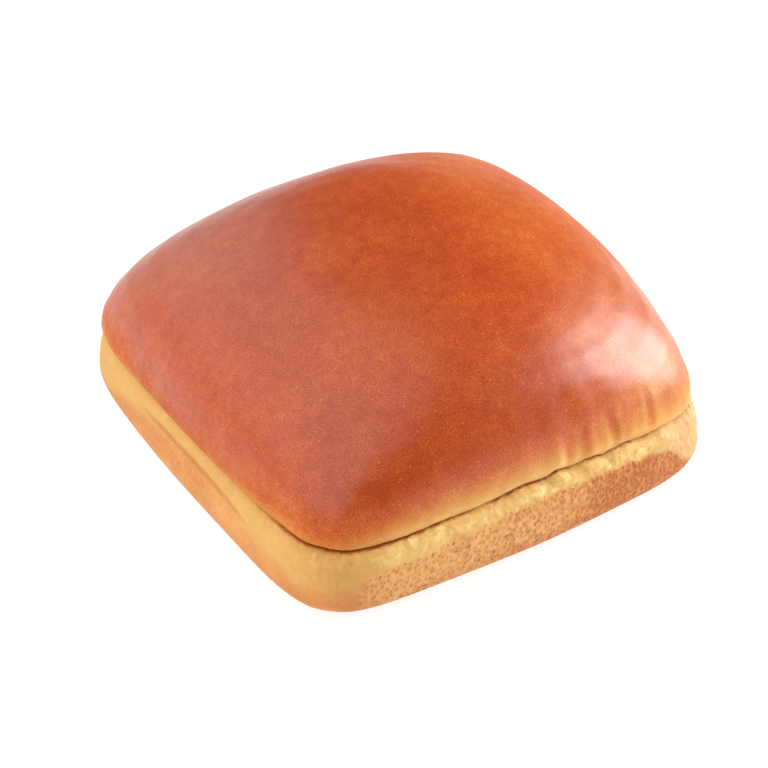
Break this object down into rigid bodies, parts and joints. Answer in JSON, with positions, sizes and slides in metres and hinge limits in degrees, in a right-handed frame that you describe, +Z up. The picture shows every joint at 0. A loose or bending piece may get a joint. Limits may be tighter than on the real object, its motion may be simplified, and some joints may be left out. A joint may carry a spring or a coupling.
{
  "type": "brioche bun",
  "caption": "Square brioche bun, sliced through, with a glossy domed brown crown resting on a flat golden heel.",
  "frame": {"origin": "middle of the bun's box, on the flat underside that it stands on", "axes": "+Z up through the dome; -Y is the front, the side at the right of the picture; -X is the left side"},
  "size_m": [0.1028, 0.1032, 0.046],
  "materials": {
    "glazed_crust": "thin egg-washed crust, baked deep orange brown on top and golden at the waist, satin gloss",
    "pale_crust": "pale golden crumb band over a dull, fine-pored tan base crust"
  },
  "bodies": {
    "root": {"crown": "glazed_crust", "heel": "pale_crust"}
  },
  "joints": []
}
